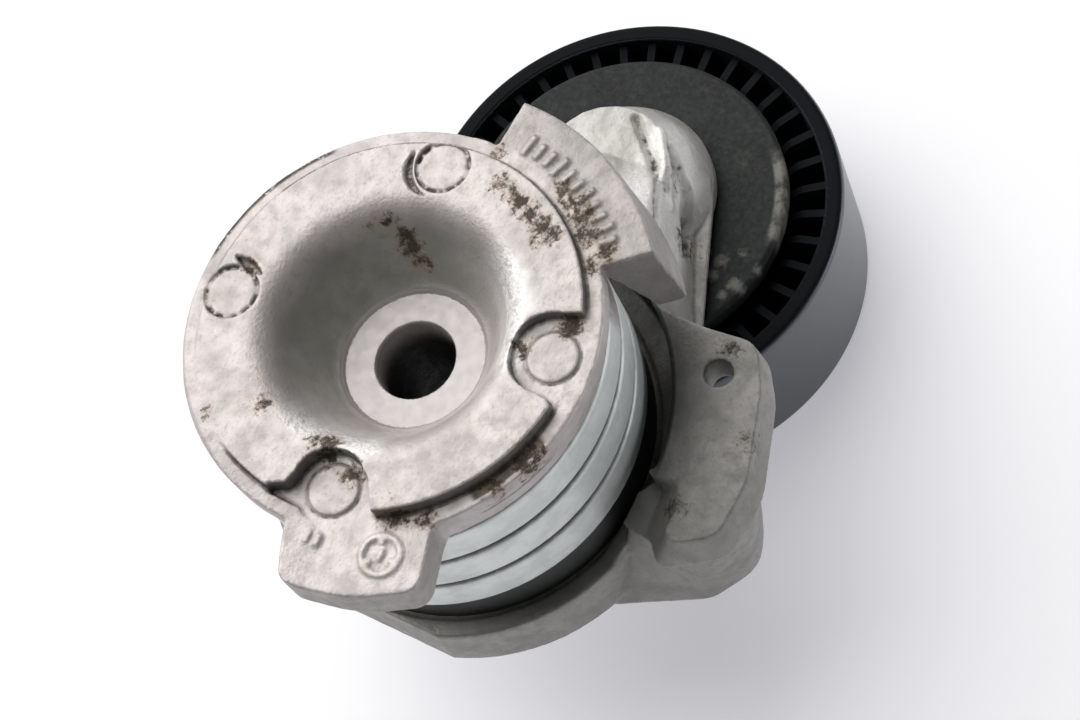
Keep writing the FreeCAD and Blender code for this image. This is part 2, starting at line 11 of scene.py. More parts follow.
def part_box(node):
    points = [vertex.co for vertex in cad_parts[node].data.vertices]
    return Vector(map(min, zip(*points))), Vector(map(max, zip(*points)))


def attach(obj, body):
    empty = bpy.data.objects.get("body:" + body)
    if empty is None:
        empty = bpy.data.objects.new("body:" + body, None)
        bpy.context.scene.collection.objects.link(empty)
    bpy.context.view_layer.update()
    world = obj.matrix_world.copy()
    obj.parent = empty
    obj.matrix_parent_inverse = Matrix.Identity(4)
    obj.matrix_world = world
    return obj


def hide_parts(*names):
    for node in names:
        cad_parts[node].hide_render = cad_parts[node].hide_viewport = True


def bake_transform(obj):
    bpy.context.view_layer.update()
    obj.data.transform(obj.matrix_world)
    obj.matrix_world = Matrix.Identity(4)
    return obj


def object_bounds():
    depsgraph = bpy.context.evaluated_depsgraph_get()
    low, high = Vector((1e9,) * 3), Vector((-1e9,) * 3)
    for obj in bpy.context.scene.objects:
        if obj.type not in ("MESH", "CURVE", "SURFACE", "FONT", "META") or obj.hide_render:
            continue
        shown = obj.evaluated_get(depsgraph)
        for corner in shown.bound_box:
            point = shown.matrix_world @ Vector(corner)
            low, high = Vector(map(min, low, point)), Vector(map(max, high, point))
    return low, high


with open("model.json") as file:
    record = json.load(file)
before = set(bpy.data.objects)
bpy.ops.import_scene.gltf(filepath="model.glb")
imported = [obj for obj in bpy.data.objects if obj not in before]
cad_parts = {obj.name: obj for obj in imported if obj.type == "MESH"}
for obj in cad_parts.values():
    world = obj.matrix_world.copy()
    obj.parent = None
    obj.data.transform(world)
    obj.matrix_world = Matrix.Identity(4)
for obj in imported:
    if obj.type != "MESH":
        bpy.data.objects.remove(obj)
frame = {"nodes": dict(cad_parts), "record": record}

cad_low, cad_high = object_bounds()
NODES = frame["nodes"]
MM = 0.001

# Places and sizes that follow from the frame, in millimetres
PULLEY_LOW, PULLEY_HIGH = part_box("pulley_rim")
PULLEY_X = (PULLEY_LOW.x + PULLEY_HIGH.x) / 2 / MM
SPRING_LOW, SPRING_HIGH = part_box("torsion_spring")
SPRING_R = SPRING_HIGH.x / MM
SPRING_TOP_Z = SPRING_HIGH.z / MM
SPRING_END_Z = SPRING_LOW.z / MM

# Sizes that repeat the CAD, in millimetres and degrees. Round ones are about the bolt's axis.
SPRING_INNER_R = 24.3
SPRING_TURNS = 2.75
COIL_PITCH = 8.15
SPRING_START_DEG = -60.0
STEPS_PER_TURN = 96
WIRE_HEIGHT = SPRING_TOP_Z - SPRING_END_Z - COIL_PITCH * SPRING_TURNS
BORE_R = 5.9
SEAT_R = 10.5
POST_R = 10.0
MOUTH_R = 18.2
RIM_R = 30.2
PAD_R = 27.7
TAB_DEGS = (-54.6, -4.6)
EAR_TOP_Z = -16.6
CUP_R = 33.6
CUP_RIM_Z = -26.9

# Round ejector marks on the base
PIN_MARK_DEGS = (7.5, 97.5, 187.5, 277.5)
PIN_MARK_CIRCLE_R = 24.3
PIN_OUTLINE_R = 3.9
PIN_OUTLINE_DEPTH = 0.152

# How a casting's mesh is made, in millimetres
CAST_VOXEL = 0.26
MAX_TRIANGLES = 190000
WAVE_HEIGHT, WAVE_SIZE = 0.05, 5.5
RIPPLE_HEIGHT, RIPPLE_SIZE = 0.025, 1.6
SHARP_BEND = 0.06
BROAD_BEND = 0.5
SEAT_TOLERANCE = 0.01


def polar(radius, degrees, z=0.0):
    angle = math.radians(degrees)
    return Vector((radius * math.cos(angle), radius * math.sin(angle), z))


def link(name, data):
    """A new object in the scene."""
    piece = bpy.data.objects.new(name, data)
    bpy.context.scene.collection.objects.link(piece)
    return piece


# ---------------------------------------------------------------- mesh work

def applied(piece):
    """Bakes a piece's modifiers into its mesh."""
    depsgraph = bpy.context.evaluated_depsgraph_get()
    mesh = bpy.data.meshes.new_from_object(piece.evaluated_get(depsgraph))
    old = piece.data
    piece.modifiers.clear()
    piece.data = mesh
    bpy.data.meshes.remove(old)
    return piece


def coordinates(mesh):
    flat = np.zeros(len(mesh.vertices) * 3, np.float32)
    mesh.vertices.foreach_get("co", flat)
    return flat.reshape(-1, 3).astype(float)


def set_coordinates(mesh, points):
    mesh.vertices.foreach_set("co", points.astype(np.float32).ravel())
    mesh.update()


def vertex_normals(mesh):
    flat = np.zeros(len(mesh.vertices) * 3, np.float32)
    mesh.vertex_normals.foreach_get("vector", flat)
    return flat.reshape(-1, 3).astype(float)


class Neighbours:
    """Averages any value over each vertex's neighbours."""

    def __init__(self, mesh):
        flat = np.zeros(len(mesh.edges) * 2, np.int32)
        mesh.edges.foreach_get("vertices", flat)
        self.a, self.b = flat.reshape(-1, 2).T
        self.count = len(mesh.vertices)
        degree = np.bincount(self.a, minlength=self.count) + np.bincount(self.b, minlength=self.count)
        self.degree = np.maximum(degree, 1)

    def mean(self, values):
        columns = []
        for column in values.T:
            total = np.bincount(self.a, weights=column[self.b], minlength=self.count)
            total += np.bincount(self.b, weights=column[self.a], minlength=self.count)
            columns.append(total / self.degree)
        return np.array(columns).T

    def relaxed(self, points, rounds, share=0.5):
        for _ in range(rounds):
            points = points * (1 - share) + self.mean(points) * share
        return points


def store(mesh, name, values):
    """Keeps one number per vertex for the materials to read."""
    attribute = mesh.attributes.get(name) or mesh.attributes.new(name, "FLOAT", "POINT")
    attribute.data.foreach_set("value", values.astype(np.float32))


def noise_at(points, size_mm, seed):
    """Smooth noise from -1 to 1 with features of the given size."""
    size = size_mm * MM
    shift = Vector((seed * 17.3, seed * 5.1, seed * 9.7))
    return np.array([noise.noise(Vector(p) / size + shift) for p in points])


def smoothstep(low, high, values):
    t = np.clip((values - low) / (high - low), 0, 1)
    return t * t * (3 - 2 * t)


def casting(node, name, extras, finish):
    """A copy of a CAD node with the soft edges, slight waves and surface data of a die casting.
    extras are small closed meshes that merge into it. finish(points, normals) adds marks and puts
    machined faces back. The seat at z = 0 stays flat and sharp."""
    bm = bmesh.new()
    bm.from_mesh(NODES[node].data)
    bmesh.ops.remove_doubles(bm, verts=bm.verts, dist=1e-7)
    for extra in extras:
        bm.from_mesh(extra)
        bpy.data.meshes.remove(extra)
    mesh = bpy.data.meshes.new(name)
    bm.to_mesh(mesh)
    bm.free()
    piece = link(name, mesh)
    remesh = piece.modifiers.new("remesh", "REMESH")
    remesh.mode = "VOXEL"
    remesh.voxel_size = CAST_VOXEL * MM
    applied(piece)
    mesh = piece.data

    around = Neighbours(mesh)
    points = around.relaxed(coordinates(mesh), 4)
    set_coordinates(mesh, points)
    normals = vertex_normals(mesh)
    waves = WAVE_HEIGHT * noise_at(points, WAVE_SIZE, 1) + RIPPLE_HEIGHT * noise_at(points, RIPPLE_SIZE, 2)
    points += normals * (waves * MM)[:, None]
    points = finish(points, normals)
    set_coordinates(mesh, points)

    fine = around.relaxed(points, 3) - points
    broad = around.relaxed(points, 40) - points
    fine_bend = np.einsum("ij,ij->i", fine, normals) / MM
    broad_bend = np.einsum("ij,ij->i", broad, normals) / MM
    fine_bend = around.relaxed(fine_bend[:, None], 2)[:, 0]
    store(mesh, "edge", np.clip(-fine_bend / SHARP_BEND, 0, 1))
    store(mesh, "crease", np.clip(fine_bend / SHARP_BEND, 0, 1))
    store(mesh, "hollow", np.clip(broad_bend / BROAD_BEND, 0, 1))

    triangles = 2 * len(mesh.polygons)
    if triangles > MAX_TRIANGLES:
        thin = piece.modifiers.new("thin", "DECIMATE")
        thin.ratio = MAX_TRIANGLES / triangles
        free = piece.vertex_groups.new(name="free")
        off_seat = np.abs(points[:, 2]) > SEAT_TOLERANCE * MM
        free.add(np.flatnonzero(off_seat).tolist(), 1.0, "REPLACE")
        thin.vertex_group = free.name
        applied(piece)
        piece.vertex_groups.clear()
    level = coordinates(piece.data)[:, 2]
    machined = set(np.flatnonzero(np.abs(level) < SEAT_TOLERANCE * MM))
    smooth = [not machined.issuperset(p.vertices) for p in piece.data.polygons]
    piece.data.polygons.foreach_set("use_smooth", smooth)
    piece.data.update()
    return piece


def block(centre, along, across, half_length, half_width, low, high):
    """A small box mesh in millimetres, standing on the surface, with its long side along a direction."""
    bm = bmesh.new()
    corners = []
    for z in (low, high):
        for u, v in ((-1, -1), (1, -1), (1, 1), (-1, 1)):
            spot = centre + along * (u * half_length) + across * (v * half_width)
            corners.append(bm.verts.new(Vector((spot.x, spot.y, z)) * MM))
    bottom, top = corners[:4], corners[4:]
    bm.faces.new(bottom[::-1])
    bm.faces.new(top)
    for i in range(4):
        j = (i + 1) % 4
        bm.faces.new((bottom[i], bottom[j], top[j], top[i]))
    mesh = bpy.data.meshes.new("block")
    bm.to_mesh(mesh)
    bm.free()
    return mesh


def hoop(centre, radius, half_width, low, high):
    """A raised ring mesh with a square section, in millimetres."""
    steps = 48
    bm = bmesh.new()
    rings = []
    for i in range(steps):
        out = polar(1.0, 360 * i / steps)
        corners = []
        for r, z in ((-1, low), (1, low), (1, high), (-1, high)):
            spot = centre + out * (radius + r * half_width)
            corners.append(bm.verts.new(Vector((spot.x, spot.y, z)) * MM))
        rings.append(corners)
    for i in range(steps):
        here, there = rings[i], rings[(i + 1) % steps]
        for k in range(4):
            n = (k + 1) % 4
            bm.faces.new((here[k], here[n], there[n], there[k]))
    bmesh.ops.recalc_face_normals(bm, faces=bm.faces)
    mesh = bpy.data.meshes.new("hoop")
    bm.to_mesh(mesh)
    bm.free()
    return mesh


# ---------------------------------------------------------------- fixed base

BAR_COUNT = 11
BAR_FIRST_DEG = -12.5
BAR_STEP_DEG = 3.6
BAR_CIRCLE_R = 32.0
BAR_HEIGHT = 0.45
DIAL_AT = Vector((-30.1, -13.8, 0))
DIAL_R = 2.75
TICKS_AT = Vector((-31.3, -3.6, 0))
MARK_HEIGHT = 0.40
MARK_ROOT = 0.5
UPPER_FACE_Z = 9.0
X_AXIS = Vector((1, 0, 0))
Y_AXIS = Vector((0, 1, 0))

base_tree = BVHTree.FromObject(NODES["base_casting"], bpy.context.evaluated_depsgraph_get())


def face_level(spot):
    """Height of the base casting's upper face under a point, in millimetres."""
    hit = base_tree.ray_cast(Vector((spot.x * MM, spot.y * MM, 0.05)), Vector((0, 0, -1)))
    return hit[0].z / MM


def outward(degrees):
    """The directions away from the middle and round it, at an angle."""
    out = polar(1.0, degrees)
    return out, Vector((-out.y, out.x, 0))


def base_marks():
    """Generic raised marks in the places where such castings are marked. None of them is lettering."""
    marks = []
    for i in range(BAR_COUNT):
        out, side = outward(BAR_FIRST_DEG - BAR_STEP_DEG * i)
        spot = out * BAR_CIRCLE_R
        level = face_level(spot)
        length = 1.2 if i % 3 else 1.6
        marks.append(block(spot, out, side, length, 0.42, level - MARK_ROOT, level + BAR_HEIGHT))
    level = face_level(DIAL_AT)
    low, high = level - MARK_ROOT, level + MARK_HEIGHT
    marks.append(hoop(DIAL_AT, DIAL_R, 0.34, low, high))
    for degrees in (20, 140, 260):
        out, side = outward(degrees)
        marks.append(block(DIAL_AT + out * 2.0, out, side, 0.55, 0.32, low, high))
    marks.append(block(DIAL_AT, X_AXIS, Y_AXIS, 0.8, 0.36, low, high))
    level = face_level(TICKS_AT)
    low, high = level - MARK_ROOT, level + MARK_HEIGHT
    for shift in (-0.8, 0.8):
        marks.append(block(TICKS_AT + Y_AXIS * shift, X_AXIS, Y_AXIS, 0.9, 0.36, low, high))
    return marks


def dent(points, start, end, half_width, depth):
    """Pushes a leaf-shaped dent into the upper face."""
    a, b = Vector(start), Vector(end)
    along = (b - a).normalized()
    across = Vector((-along.y, along.x, 0))
    length = (b - a).length
    x, y, z = points.T / MM
    u = ((x - a.x) * along.x + (y - a.y) * along.y) / length
    v = (x - a.x) * across.x + (y - a.y) * across.y
    width = half_width * np.sin(np.pi * np.clip(u, 0, 1)) + 1e-6
    inside = np.clip(1 - np.abs(v) / width, 0, 1)
    inside[(u <= 0) | (u >= 1) | (z < UPPER_FACE_Z)] = 0
    points[:, 2] -= depth * MM * smoothstep(0, 0.7, inside)
    return points


def fold(points, normals, path, half_width, depth):
    """Presses a groove along a path over the surface, or raises a ridge if depth is negative."""
    places = points / MM
    nearest = np.full(len(points), 1e6)
    for start, end in zip(path, path[1:]):
        start, end = np.array(start), np.array(end)
        along = end - start
        share = np.clip((places - start) @ along / (along @ along), 0, 1)
        nearest = np.minimum(nearest, np.linalg.norm(places - start - share[:, None] * along, axis=1))
    push = depth * MM * smoothstep(0, 1, 1 - nearest / half_width)
    return points - normals * push[:, None]


def pin_groove(points, centre, radius, half_width, depth, degrees=None):
    """Presses a ring groove round a mark on the upper face, or an arc of it that tapers at both ends."""
    x, y, z = points.T / MM
    off = np.abs(np.hypot(x - centre.x, y - centre.y) - radius)
    width = half_width
    if degrees:
        start, end = degrees
        share = (np.degrees(np.arctan2(y - centre.y, x - centre.x)) - start) / (end - start)
        width = half_width * np.sin(np.pi * np.clip(share, 0, 1)) + 1e-6
    points[:, 2] -= depth * MM * smoothstep(0, 0.8, 1 - off / width) * (z > UPPER_FACE_Z - 0.5)
    return points


BORE_END_Z = -42.6
POST_TOP_Z = -5.2
POST_END_Z = -41.2
DENT_ENDS = ((2.1, 26.3, 0), (0.6, 20.7, 0))
SLIP_GROOVE_DEGS = (74.0, 176.0)


def finish_base(points, normals):
    """Flattens the seat, trues the bore and the post, and presses in the ejector marks."""
    x, y, z = points.T / MM
    radius = np.hypot(x, y)
    seat = (radius > BORE_R + 0.15) & (radius < SEAT_R - 0.1) & (np.abs(z) < 0.5)
    points[seat, 2] = 0
    bore = (radius < BORE_R + 0.6) & (z < -0.45) & (z > BORE_END_Z)
    post = (np.abs(radius - POST_R) < 0.6) & (z < POST_TOP_Z) & (z > POST_END_Z)
    for chosen, target in ((bore, BORE_R), (post, POST_R)):
        points[chosen, :2] *= (target / radius[chosen])[:, None]
    points = dent(points, *DENT_ENDS, 1.0, 1.0)
    marks = [polar(PIN_MARK_CIRCLE_R, degrees) for degrees in PIN_MARK_DEGS]
    points = pin_groove(points, marks[0], 5.0, 0.95, 0.75, SLIP_GROOVE_DEGS)
    for mark in marks:
        points = pin_groove(points, mark, PIN_OUTLINE_R, 0.45, PIN_OUTLINE_DEPTH)
    return points


base = casting("base_casting", "base_die_casting", base_marks(), finish_base)
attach(base, "base")
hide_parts("base_casting")


# ---------------------------------------------------------------- arm

NECK_VALLEY = [(57.2, -1.7, -27.0), (53.6, -5.0, -27.0), (50.5, -7.8, -27.0), (46.9, -10.2, -26.2),
               (42.6, -12.4, -25.2), (37.0, -15.4, -23.6)]
NECK_RIDGE = [(56.4, -6.4, -27.2), (52.0, -8.9, -27.2), (49.1, -10.7, -28.2), (46.0, -12.2, -29.8)]
NECK_FOLD = [(54.4, -8.6, -28.0), (52.5, -10.4, -29.0), (49.8, -12.7, -32.0), (45.9, -14.0, -34.0),
             (40.8, -16.1, -34.0)]
NECK_STARTS_X = (30.0, 44.0)
NECK_LOW_Z = -36.0


def finish_arm(points, normals):
    """Folds and rough lumps on the neck and the boss."""
    points = fold(points, normals, NECK_VALLEY, 1.3, 0.6)
    points = fold(points, normals, NECK_RIDGE, 1.4, -0.6)
    points = fold(points, normals, NECK_FOLD, 1.6, 0.9)
    rough = smoothstep(*NECK_STARTS_X, points[:, 0] / MM) * (points[:, 2] / MM > NECK_LOW_Z)
    lumps = 0.22 * noise_at(points, 4.2, 5) + 0.10 * noise_at(points, 1.4, 6)
    return points + normals * (lumps * rough * MM)[:, None]


arm = casting("tensioner_arm", "arm_die_casting", [], finish_arm)
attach(arm, "arm")
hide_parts("tensioner_arm")


# ---------------------------------------------------------------- spring

def wire_section():
    """Outline of the flat wire as (radius, depth below the coil's top), with round corners and a
    slightly crowned outer face."""
    corner = 1.15
    crown = 0.12
    steps = 5
    crown_steps = 8
    outline = []
    corners = (
        (SPRING_R - corner, corner, 90),
        (SPRING_R - corner, WIRE_HEIGHT - corner, 0),
        (SPRING_INNER_R + corner, WIRE_HEIGHT - corner, -90),
        (SPRING_INNER_R + corner, corner, -180))
    for index, (r, depth, start) in enumerate(corners):
        for i in range(steps + 1):
            out = polar(corner, start - 90 * i / steps)
            outline.append((r + out.x, depth - out.y))
        if index == 0:
            for i in range(1, crown_steps):
                share = i / crown_steps
                bulge = crown * math.sin(math.pi * share)
                outline.append((SPRING_R - crown + bulge, corner + (WIRE_HEIGHT - 2 * corner) * share))
    return outline


def coil_spring():
    outline = wire_section()
    steps = round(SPRING_TURNS * STEPS_PER_TURN)
    bm = bmesh.new()
    across_layer = bm.verts.layers.float.new("across")
    rings = []
    for i in range(steps + 1):
        turn = SPRING_TURNS * i / steps
        top = SPRING_TOP_Z - COIL_PITCH * turn
        ring = []
        for radius, depth in outline:
            vert = bm.verts.new(polar(radius, SPRING_START_DEG - 360 * turn, top - depth) * MM)
            vert[across_layer] = depth / WIRE_HEIGHT
            ring.append(vert)
        rings.append(ring)
    count = len(outline)
    for here, there in zip(rings, rings[1:]):
        for k in range(count):
            n = (k + 1) % count
            bm.faces.new((here[k], here[n], there[n], there[k]))
    bm.faces.new(rings[0])
    bm.faces.new(rings[-1][::-1])
    bmesh.ops.recalc_face_normals(bm, faces=bm.faces)
    mesh = bpy.data.meshes.new("coil_spring")
    bm.to_mesh(mesh)
    bm.free()
    mesh.polygons.foreach_set("use_smooth", [len(p.vertices) == 4 for p in mesh.polygons])
    return link("coil_spring", mesh)


spring = coil_spring()
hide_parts("torsion_spring")
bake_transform(spring)


# ---------------------------------------------------------------- materials

class Graph:
    """Short names for the shader nodes that the materials use."""

    def __init__(self, name):
        self.material = bpy.data.materials.new(name)
        self.material.use_nodes = True
        self.tree = self.material.node_tree
        self.tree.nodes.clear()
        self.output = self.tree.nodes.new("ShaderNodeOutputMaterial")
        self.shader = self.tree.nodes.new("ShaderNodeBsdfPrincipled")
        self.join(self.shader.outputs[0], self.output.inputs["Surface"])
        self.place = self.tree.nodes.new("ShaderNodeTexCoord").outputs["Object"]

    def join(self, value, socket):
        if isinstance(value, bpy.types.NodeSocket):
            self.tree.links.new(value, socket)
        elif value is not None:
            if isinstance(value, tuple) and len(value) == 3 and socket.type == "RGBA":
                value = (*value, 1.0)
            socket.default_value = value

    def set(self, **values):
        names = {
            "color": "Base Color", "metal": "Metallic", "rough": "Roughness", "normal": "Normal",
            "specular": "Specular IOR Level", "tint": "Specular Tint",
            "coat": "Coat Weight", "coat_rough": "Coat Roughness",
            "glow": "Emission Color", "glow_strength": "Emission Strength"}
        for key, value in values.items():
            self.join(value, self.shader.inputs[names[key]])

    def math(self, operation, a, b=None, clamp=False):
        node = self.tree.nodes.new("ShaderNodeMath")
        node.operation = operation
        node.use_clamp = clamp
        self.join(a, node.inputs[0])
        self.join(b, node.inputs[1])
        return node.outputs[0]

    def noise(self, size_mm, detail=4.0, rough=0.6, place=None):
        node = self.tree.nodes.new("ShaderNodeTexNoise")
        node.inputs["Scale"].default_value = 1 / (size_mm * MM)
        node.inputs["Detail"].default_value = detail
        node.inputs["Roughness"].default_value = rough
        self.join(place or self.place, node.inputs["Vector"])
        return node.outputs["Fac"]

    def span(self, value, low, high, to_low=0.0, to_high=1.0):
        node = self.tree.nodes.new("ShaderNodeMapRange")
        node.interpolation_type = "SMOOTHSTEP"
        self.join(value, node.inputs["Value"])
        for socket, number in zip(node.inputs[1:5], (low, high, to_low, to_high)):
            socket.default_value = number
        return node.outputs["Result"]

    def mix(self, share, a, b):
        node = self.tree.nodes.new("ShaderNodeMix")
        node.data_type = "RGBA"
        self.join(share, node.inputs[0])
        self.join(a, node.inputs[6])
        self.join(b, node.inputs[7])
        return node.outputs[2]

    def attribute(self, name):
        node = self.tree.nodes.new("ShaderNodeAttribute")
        node.attribute_name = name
        return node.outputs["Fac"]

    def distance(self, place, spot):
        node = self.tree.nodes.new("ShaderNodeVectorMath")
        node.operation = "DISTANCE"
        self.join(place, node.inputs[0])
        node.inputs[1].default_value = spot
        return node.outputs["Value"]

    def near(self, spot_mm, radius_mm, strength):
        """From strength at a spot to 0 at a radius."""
        away = self.distance(self.place, [c * MM for c in spot_mm])
        return self.span(away, 0.0, radius_mm * MM, strength, 0.0)

    def flat_place(self, x, y):
        """A place in the XY plane, with no height."""
        node = self.tree.nodes.new("ShaderNodeCombineXYZ")
        self.join(x, node.inputs[0])
        self.join(y, node.inputs[1])
        return node.outputs[0]

    def lessened(self, value, mask, depth):
        """The value, less a share of itself where the mask is 1."""
        return self.math("MULTIPLY", value, self.math("SUBTRACT", 1.0, self.math("MULTIPLY", mask, depth)))

    def times(self, *values):
        total = values[0]
        for value in values[1:]:
            total = self.math("MULTIPLY", total, value)
        return total

    def length(self, x, y):
        return self.math("SQRT", self.math("ADD", self.math("MULTIPLY", x, x), self.math("MULTIPLY", y, y)))

    def degrees(self, x, y):
        return self.math("MULTIPLY", self.math("ARCTAN2", y, x), 180 / math.pi)

    def millimetres(self):
        """Position along x, y and z, distance from the Z axis, and the angle round it in degrees."""
        x, y, z = (self.math("MULTIPLY", value, 1 / MM) for value in self.axes())
        return x, y, z, self.length(x, y), self.degrees(x, y)

    def inside(self, value, low, high, soft):
        """1 between low and high, falling to 0 over a soft distance outside them."""
        rise = self.span(value, low - soft, low)
        return self.math("MULTIPLY", rise, self.span(value, high, high + soft, 1.0, 0.0))

    def facing_up(self):
        """1 on surfaces that lie across the Z axis, 0 on surfaces along it."""
        node = self.tree.nodes.new("ShaderNodeTexCoord")
        split = self.tree.nodes.new("ShaderNodeSeparateXYZ")
        self.join(node.outputs["Normal"], split.inputs[0])
        return self.span(self.math("ABSOLUTE", split.outputs[2]), 0.55, 0.9)

    def axes(self):
        node = self.tree.nodes.new("ShaderNodeSeparateXYZ")
        self.join(self.place, node.inputs[0])
        return node.outputs

    def radius(self, centre_x_mm):
        """Distance in metres from an axis along Z."""
        x, y, _ = self.axes()
        return self.length(self.math("SUBTRACT", x, centre_x_mm * MM), y)

    def around(self, centre_x_mm, stretch):
        """Coordinates that run round an axis along Z, for turned and rolled marks."""
        x, y, z = self.axes()
        x = self.math("SUBTRACT", x, centre_x_mm * MM)
        node = self.tree.nodes.new("ShaderNodeCombineXYZ")
        turn = self.math("ARCTAN2", y, x)
        self.join(self.math("MULTIPLY", turn, stretch * MM), node.inputs[0])
        self.join(self.radius(centre_x_mm), node.inputs[1])
        self.join(z, node.inputs[2])
        return node.outputs[0]

    def bump(self, height, distance_mm, strength):
        node = self.tree.nodes.new("ShaderNodeBump")
        node.inputs["Strength"].default_value = strength
        node.inputs["Distance"].default_value = distance_mm * MM
        self.join(height, node.inputs["Height"])
        return node.outputs["Normal"]

    def most(self, values):
        total = values[0]
        for value in values[1:]:
            total = self.math("MAXIMUM", total, value)
        return total


PAINTED_HIGHLIGHT_WHITE = (0.93, 0.91, 0.90)
PAINTED_SHADE_BLACK = (0.012, 0.016, 0.011)
PAINTED_SHADE_OLIVE = (0.112, 0.166, 0.116)
SOIL_IN_HOLLOWS = 0.5
MOST_DIRT = 0.93


def scaled(color, share):
    return tuple(min(1.0, c * share) for c in color)


def finish_with(piece, material):
    """Makes a material the only one on a piece."""
    piece.data.materials.clear()
    piece.data.materials.append(material)


def cast_metal(name, light, dark, grime, stains, tones):
    """Die-cast aluminium: cloudy skin, worn edges lighter than the skin, brown grime in creases and in chosen
    places, and painted shade, painted highlights and a painted dark reflection.
    tones(g) gives the share of colour left unshaded where painted shade darkens whole regions, and may give a
    painted highlight, where a face is machined clean, the dark lines, a painted dark reflection laid as
    specks on the rim, and a painted olive shade."""
    g = Graph(name)
    tone = tones(g)
    film, bright = tone["film"], tone["bright"]
    clean, lines = tone.get("clean"), tone.get("lines")
    cloud = g.noise(9.0, 3.0)
    mottle = g.noise(2.2, 5.0, 0.65)
    speck = g.noise(0.55, 4.0, 0.7)

    color = g.mix(g.span(cloud, 0.35, 0.68), light, dark)
    color = g.mix(g.span(mottle, 0.50, 0.70, 0.0, 0.5), color, dark)
    color = g.mix(g.span(speck, 0.58, 0.74, 0.0, 0.4), color, scaled(dark, 0.45))
    freckle = g.times(g.span(g.noise(1.5, 6.0, 0.75), 0.50, 0.66), g.span(cloud, 0.3, 0.6, 0.36, 0.08))
    color = g.mix(freckle, color, scaled(grime, 2.1))
    # Painted highlight: speckled pale white where the light catches the skin.
    color = g.mix(g.times(bright, g.span(speck, 0.32, 0.55, 0.55, 1.0)), color, PAINTED_HIGHLIGHT_WHITE)
    # Painted shade: the colour goes towards black where the share left unshaded is below 1.
    color = g.mix(g.math("SUBTRACT", 1.0, film, clamp=True), color, PAINTED_SHADE_BLACK)
    # Painted olive shade on faces turned away from the light.
    if "green" in tone:
        color = g.mix(tone["green"], color, PAINTED_SHADE_OLIVE)

    ragged = g.span(g.noise(1.3, 5.0, 0.7), 0.35, 0.65)
    worn = g.times(g.span(g.attribute("edge"), 0.15, 0.7), g.span(ragged, 0.1, 0.9, 0.35, 1.0), film)
    color = g.mix(g.math("MULTIPLY", worn, 0.6), color, scaled(light, 1.3))

    corner = g.times(g.span(g.attribute("crease"), 0.12, 0.75), g.span(ragged, 0.0, 1.0, 0.35, 1.0))
    soil = g.span(g.attribute("hollow"), 0.3, 0.95, 0.0, SOIL_IN_HOLLOWS)
    dirt_and_dark_reflection = g.math("MAXIMUM", corner, soil)
    if clean:
        color = g.mix(clean, color, scaled(light, 0.74))
        dirt_and_dark_reflection = g.lessened(dirt_and_dark_reflection, clean, 1.0)

    patch = g.most([g.near(spot, size, strength) for spot, size, strength in stains])
    grit = g.math("ADD", g.noise(0.9, 8.0, 0.70), g.math("MULTIPLY", g.noise(2.6, 3.0), 0.5))
    halo = g.times(g.span(patch, 0.0, 0.8, 0.0, 0.78), g.span(grit, 0.60, 0.95, 0.30, 1.0))
    color = g.mix(halo, color, scaled(grime, 2.2))
    torn = g.span(g.math("ADD", grit, g.math("MULTIPLY", patch, 0.34)), 0.86, 1.10)
    dirt_and_dark_reflection = g.math("MAXIMUM", dirt_and_dark_reflection, g.times(torn, g.span(patch, 0.02, 0.25)))
    # Painted dark reflection on the rim's edge, laid as brown grime specks.
    if "chips" in tone:
        dirt_and_dark_reflection = g.math("MAXIMUM", dirt_and_dark_reflection, g.times(tone["chips"], g.span(grit, 0.60, 0.70)))
    if lines:
        dirt_and_dark_reflection = g.math("MAXIMUM", dirt_and_dark_reflection, g.math("MULTIPLY", lines, 0.8))
    dirt_and_dark_reflection = g.math("MINIMUM", dirt_and_dark_reflection, MOST_DIRT)
    brown = g.mix(g.span(g.noise(0.7, 5.0, 0.7), 0.25, 0.52), grime, scaled(grime, 0.18))
    color = g.mix(dirt_and_dark_reflection, color, brown)

    rough = g.math("ADD", g.span(mottle, 0.3, 0.7, 0.42, 0.58), g.math("MULTIPLY", dirt_and_dark_reflection, 0.3))
    grain = g.math("ADD", g.math("MULTIPLY", speck, 0.6), g.math("MULTIPLY", mottle, 0.8))
    if clean:
        rough = g.math("SUBTRACT", rough, g.math("MULTIPLY", clean, 0.08))
        grain = g.times(grain, g.span(clean, 0.0, 1.0, 1.0, 0.12))
    grain = g.math("ADD", grain, g.times(bright, g.noise(0.8, 4.0, 0.7), 1.6))
    if lines:
        grain = g.math("SUBTRACT", grain, g.math("MULTIPLY", lines, 1.2))
    g.set(color=color, metal=g.span(dirt_and_dark_reflection, 0.0, 1.0, 0.35, 0.05), rough=rough, normal=g.bump(grain, 0.2, 0.6))
    return g.material


PAD_FOOT_Z = 8.0
PAD_TOP_Z = 12.6
STEP_ARCS = ((-66.0, 60.0, 3.0), (-155.0, -98.5, 2.0), (154.0, 169.0, 4.0))
POCKET_DEGS = (-129.0, -107.0)
LOWER_LIP_DEGS = (-150.0, -100.0)
DARK_RIM_REFLECTION_DEGS = (45.0, 86.0)
SHADED_SIDE = polar(1.0, 60.0)


